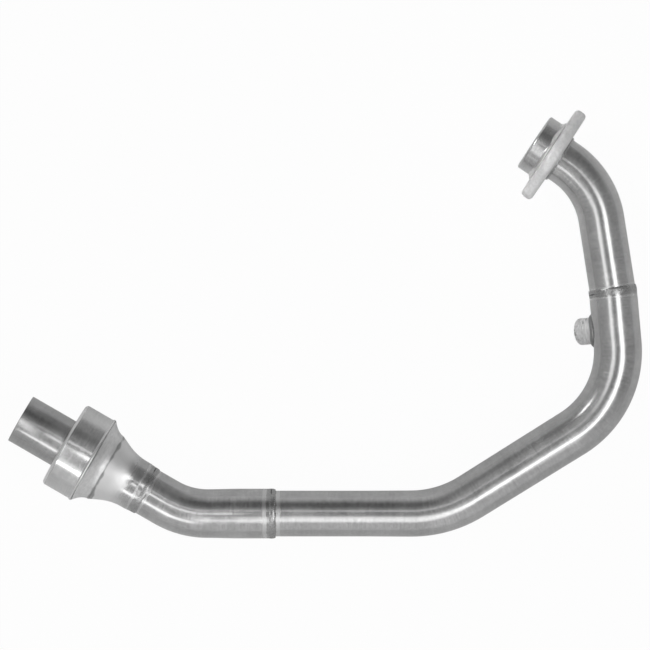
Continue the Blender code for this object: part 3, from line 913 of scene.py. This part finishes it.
class HEADER_OT_cone(Operator):
    """Spun cone with its neck over the rear tube"""
    bl_idname = "header.cone"
    bl_label = "Flared cone"

    def execute(self, context):
        drum, tubes = context.scene.header_drum, context.scene.header_tubes
        # the flare begins by so much lead inside the neck, and curves over the blend
        wall, lead, blend = 1.0 * MM, 7.0 * MM, 18.0 * MM
        neck, mouth = tubes.rear / 2 + GAP + wall, drum.mouth / 2
        flare = drum.neck_length - lead
        # the neck's edge is drawn in
        outer = [(neck - wall + NECK_EDGE, 0.0), (neck - 0.3 * MM, 2.5 * MM),
                 (neck - 0.05 * MM, 5.0 * MM), (neck, 7.0 * MM), (neck, flare)]
        slope = (mouth - neck) / (drum.cone_length + lead - blend / 2)
        outer += [(neck + slope * blend * t * t / 2, flare + blend * t)
                  for t in (i / 10 for i in range(1, 11))]
        outer.append((mouth, drum.neck_length + drum.cone_length + GAP / 2))
        turned("cone_shell", "flare_cone", walled(outer, wall), JOINT_3, "satin_cone")
        return {"FINISHED"}


class HEADER_OT_drum(Operator):
    """Spun cap and pressed cup with its lip"""
    bl_idname = "header.drum"
    bl_label = "Drum"

    def execute(self, context):
        drum = context.scene.header_drum
        neck, rim = drum.mouth / 2 + 0.3 * MM, drum.cup / 2 + 0.5 * MM
        trumpet = [(neck + (rim - neck) * t ** 2, drum.cap_length * t)
                   for t in (i / 16 for i in range(17))]
        turned("cap_shell", "collar_cap", walled(trumpet, 1.2 * MM), cone_end() + GAP,
               "matt_spinning")

        r, lip, wall, corner = drum.cup / 2, drum.cup / 2 + 0.8 * MM, 1.5 * MM, 2.6 * MM
        hole, front = drum.stub / 2 + FIT, drum.cup_length
        fall = 0.6 * MM
        bend = (r - corner, front - fall - corner)
        turned("cup_shell", "collar_cup",
               [(hole, front), *arc(bend, corner, 85.0, 0.0, 10), (r, 2.0 * MM),
                (lip - 0.1 * MM, 1.1 * MM), (lip, 0.8 * MM), (lip, 0.15 * MM),
                (lip - 0.15 * MM, 0.0), (r - wall, 0.0),
                *arc(bend, corner - wall, 0.0, 85.0, 6), (hole, front - wall)],
               cup_start(), "satin_pressing")
        return {"FINISHED"}


class HEADER_OT_stub(Operator):
    """Outlet stub, deburred at its end, and the bead that holds it inside the cup"""
    bl_idname = "header.stub"
    bl_label = "Outlet stub"

    def execute(self, context):
        drum = context.scene.header_drum
        r, wall, depth = drum.stub / 2, 1.2 * MM, 9.0 * MM
        total = drum.stub_length + depth
        profile = rounded([(r, total, 0.4 * MM), (r, 0.0, 0.2 * MM), (r - wall, 0.0, 0.2 * MM),
                           (r - wall, total, 0.1 * MM)], 3)
        turned("stub_tube", "outlet_stub", profile, stub_end() - total, "satin_stub")
        ring_bead("stub_bead", "stub_weld", cup_front() - 2.3 * MM, r + 0.5 * MM, 3.0 * MM,
                  2.6 * MM, 72)
        return {"FINISHED"}


# Studio

# A lamp's place is the lean, along the plane's x and y, of a mirror that shows it to the camera;
# its other measures are leans too. Strips stand end to end in a loop round the camera. Each row
# is a corner, the half width and the share of the strips' radiance up to the next corner.
STRIPS = {
    "right": ((-0.045, 0.12, 0.045, 0.45), (0.16, 0.06, 0.155, 1.0), (0.24, -0.07, 0.09, 0.85),
              (0.23, -0.16, 0.10, 0.95), (0.13, -0.22, 0.175, 0.5), (-0.03, -0.35, 0.0, 0.0)),
    "left": ((-0.18, 0.09, 0.175, 0.44), (-0.155, -0.02, 0.10, 0.46),
             (-0.245, -0.17, 0.06, 0.25), (-0.23, -0.31, 0.0, 0.0)),
    "drum": ((-0.02, -0.43, 0.10, 0.9), (-0.12, -0.44, 0.11, 1.1), (-0.235, -0.37, 0.08, 1.2),
             (-0.36, -0.29, 0.0, 0.0)),
    "cone": ((0.20, -0.115, 0.03, 1.5), (0.48, -0.275, 0.0, 0.0)),
}
# place, radius and share of the overhead radiance
ROUND_LAMPS = {
    "under_run": (0.0, -0.16, 0.04, 0.6),
    "over_flange": (-0.40, 0.27, 0.07, 17.0),
    "over_port": (-0.18, -0.27, 0.035, 1.6),
    "over_drum": (0.0, -0.015, 0.045, 1.6),
}
# place, inner and outer radius, and by what share the room is darker there, or brighter below 0
ROOM_PATCHES = (
    (0.02, 0.40, 0.08, 0.28, 0.65), (0.32, 0.55, 0.15, 0.50, 0.50),
    (-0.30, 0.48, 0.05, 0.25, 0.50), (0.07, 0.12, 0.02, 0.14, 0.50),
    (-0.02, 0.05, 0.04, 0.18, 0.52), (0.62, 0.05, 0.20, 0.60, 0.25),
    (-0.09, -0.17, 0.03, 0.12, 0.35), (-0.85, 0.0, 0.20, 0.60, 0.14),
    (0.1, -1.0, 0.4, 0.9, -0.35), (0.0, 1.1, 0.25, 0.55, -0.25),
)
# lamp without a grid; a lamp's angle for a half width or a radius of 1; how strips overlap
OPEN, STRIP_ANGLE, ROUND_ANGLE, OVERLAP = 180.0, 1.86, 4.0, 1.1


def towards(gx, gy):
    """Direction that a mirror leaning by this much, in the pipe's plane, throws at the camera."""
    size = gx * gx + gy * gy
    return Vector((2 * gx, 2 * gy, 1 - size)) / (1 + size)


def softbox(name, stand, at, across, width, height, radiance, shape="RECTANGLE"):
    """Lamp in a direction from a point of the plane, facing it, its width across another.

    stand is that point, the lamp's distance and the angle in degrees that its grid leaves. A near
    lamp has a grid, so that it lights little but its own part. width and height are angles.
    """
    over, distance, grid = stand
    data = bpy.data.lights.new(name, "AREA")
    data.shape = shape
    data.size, data.size_y = width * distance, height * distance
    area = data.size * data.size_y * (math.pi / 4 if shape == "ELLIPSE" else 1.0)
    data.energy = math.pi * area * radiance
    if grid < OPEN:
        data.spread = math.radians(grid)
        data.energy *= 1 - data.spread / 2 / math.tan(data.spread / 2)
    obj = linked(name, data)
    z = at.normalized()
    turn = axes((across - z * across.dot(z)).normalized(), z).to_4x4()
    obj.matrix_world = resting_frame() @ Matrix.Translation(z * distance + over) @ turn
    obj.visible_camera = False


class HEADER_OT_studio(Operator):
    """White floor, soft lamps, the room's light and the camera"""
    bl_idname = "header.studio"
    bl_label = "Studio"

    def execute(self, context):
        scene, studio, rest = context.scene, context.scene.header_studio, resting_frame()
        self.floor()
        self.lamps(studio)
        scene.world = self.room(studio.room, rest.to_3x3())

        data = bpy.data.cameras.new("camera")
        data.sensor_width = 36.0
        data.lens = data.sensor_width * studio.distance / studio.width
        data.clip_end = 100.0
        camera = linked("camera", data)
        # the picture's middle lies just off the plane's
        camera.matrix_world = rest @ Matrix.Translation((-0.3 * MM, 0.08 * MM, studio.distance))
        scene.camera = camera
        scene.view_settings.view_transform = "Standard"
        return {"FINISHED"}

    def floor(self):
        work = bmesh.new()
        bmesh.ops.create_circle(work, cap_ends=True, segments=64, radius=12.0)
        obj = linked("studio_floor", closed_work("studio_floor", work))
        made = bpy.data.materials.new("white_floor")
        tree = emptied(made)
        path = tree.node("ShaderNodeLightPath", None, None, "Is Camera Ray")
        glossy, through = (Value(tree, path.socket.node.outputs[label])
                           for label in ("Is Glossy Ray", "Is Transmission Ray"))
        paint = tree.node("ShaderNodeBsdfDiffuse", None, {"Color": (0.68, 0.68, 0.68, 1.0)})
        white = tree.node("ShaderNodeEmission", None, {"Strength": 1.0})
        seen = path * 0.97 + (glossy + through) * 0.13
        mixed = tree.node("ShaderNodeMixShader", None, {0: seen, 1: paint, 2: white})
        tree.node("ShaderNodeOutputMaterial", None, {"Surface": mixed}, None)
        obj.data.materials.append(made)

    def lamps(self, studio):
        far = (Vector((0.0, 0.0, 0.0)), studio.lamps, OPEN)
        port = (FLANGE_MIDDLE, 0.6, 26.0)
        drum = locate(JOINT_3 + 40.0 * MM)[0]
        stands = {"drum": (drum, 0.8, 36.0), "cone": (drum, 0.8, 46.0),
                  "under_run": (locate(JOINT_2 - 50.0 * MM)[0], studio.lamps, OPEN),
                  "over_flange": port, "over_port": port, "over_drum": (drum, 0.8, 46.0)}
        for label, corners in STRIPS.items():
            for i, (one, two) in enumerate(zip(corners, corners[1:])):
                a, b = towards(*one[:2]), towards(*two[:2])
                softbox(f"{label}_{i + 1}", stands.get(label, far), a + b, b - a,
                        (b - a).length * OVERLAP, STRIP_ANGLE * one[2],
                        studio.strip * one[3])
        for name, (x, y, radius, share) in ROUND_LAMPS.items():
            width = ROUND_ANGLE * radius
            softbox(name, stands[name], towards(x, y), Vector((1.0, 0.0, 0.0)), width, width,
                    studio.overhead * share, "ELLIPSE")

    def room(self, glow, plane):
        """World with the room's glow, darker and brighter in patches, turned with the plane."""
        world = bpy.data.worlds.new("room")
        tree = emptied(world)
        way = tree.node("ShaderNodeTexCoord", None, None, "Generated")
        right, back, up = (
            tree.node("ShaderNodeVectorMath", {"operation": "DOT_PRODUCT"},
                      {0: way, 1: axis}, "Value") for axis in plane.col)
        lift = (up + 1.0).high(0.05)
        gx, gy = right / lift, back / lift
        for x, y, inner, outer, depth in ROOM_PATCHES:
            far = (gx - x) * (gx - x) + (gy - y) * (gy - y)
            glow = glow * (1.0 - far.power(0.5).falls(inner, outer) * depth)
        camera = tree.node("ShaderNodeLightPath", None, None, "Is Camera Ray")
        glow = glow + camera * (1.0 - glow)
        light = tree.node("ShaderNodeBackground", None, {"Strength": glow})
        tree.node("ShaderNodeOutputWorld", None, {"Surface": light}, None)
        return world


OPERATORS = (HEADER_OT_port_ring, HEADER_OT_head_flange, HEADER_OT_tubes, HEADER_OT_beads,
             HEADER_OT_sensor_bung, HEADER_OT_cone, HEADER_OT_drum, HEADER_OT_stub,
             HEADER_OT_studio)


class HEADER_PT_panel(Panel):
    """Buttons for the pieces and the sizes they are made from"""
    bl_idname = "HEADER_PT_panel"
    bl_label = "Header pipe"
    bl_space_type = "VIEW_3D"
    bl_region_type = "UI"
    bl_category = "Header pipe"

    def draw(self, context):
        for operator in OPERATORS:
            self.layout.operator(operator.bl_idname)
        for name, group in SETTINGS.items():
            box = self.layout.box()
            for label in group.__annotations__:
                box.prop(getattr(context.scene, name), label)


CLASSES = (*SETTINGS.values(), *OPERATORS, HEADER_PT_panel)


def register():
    for each in CLASSES:
        bpy.utils.register_class(each)
    for name, group in SETTINGS.items():
        setattr(bpy.types.Scene, name, PointerProperty(type=group))


def unregister():
    for name in SETTINGS:
        delattr(bpy.types.Scene, name)
    for each in reversed(CLASSES):
        bpy.utils.unregister_class(each)


def main():
    register()
    bpy.ops.header.port_ring()
    bpy.ops.header.head_flange()
    bpy.ops.header.tubes()
    bpy.ops.header.beads()
    bpy.ops.header.sensor_bung()
    bpy.ops.header.cone()
    bpy.ops.header.drum()
    bpy.ops.header.stub()
    bpy.ops.header.studio()


if __name__ == "__main__":
    main()
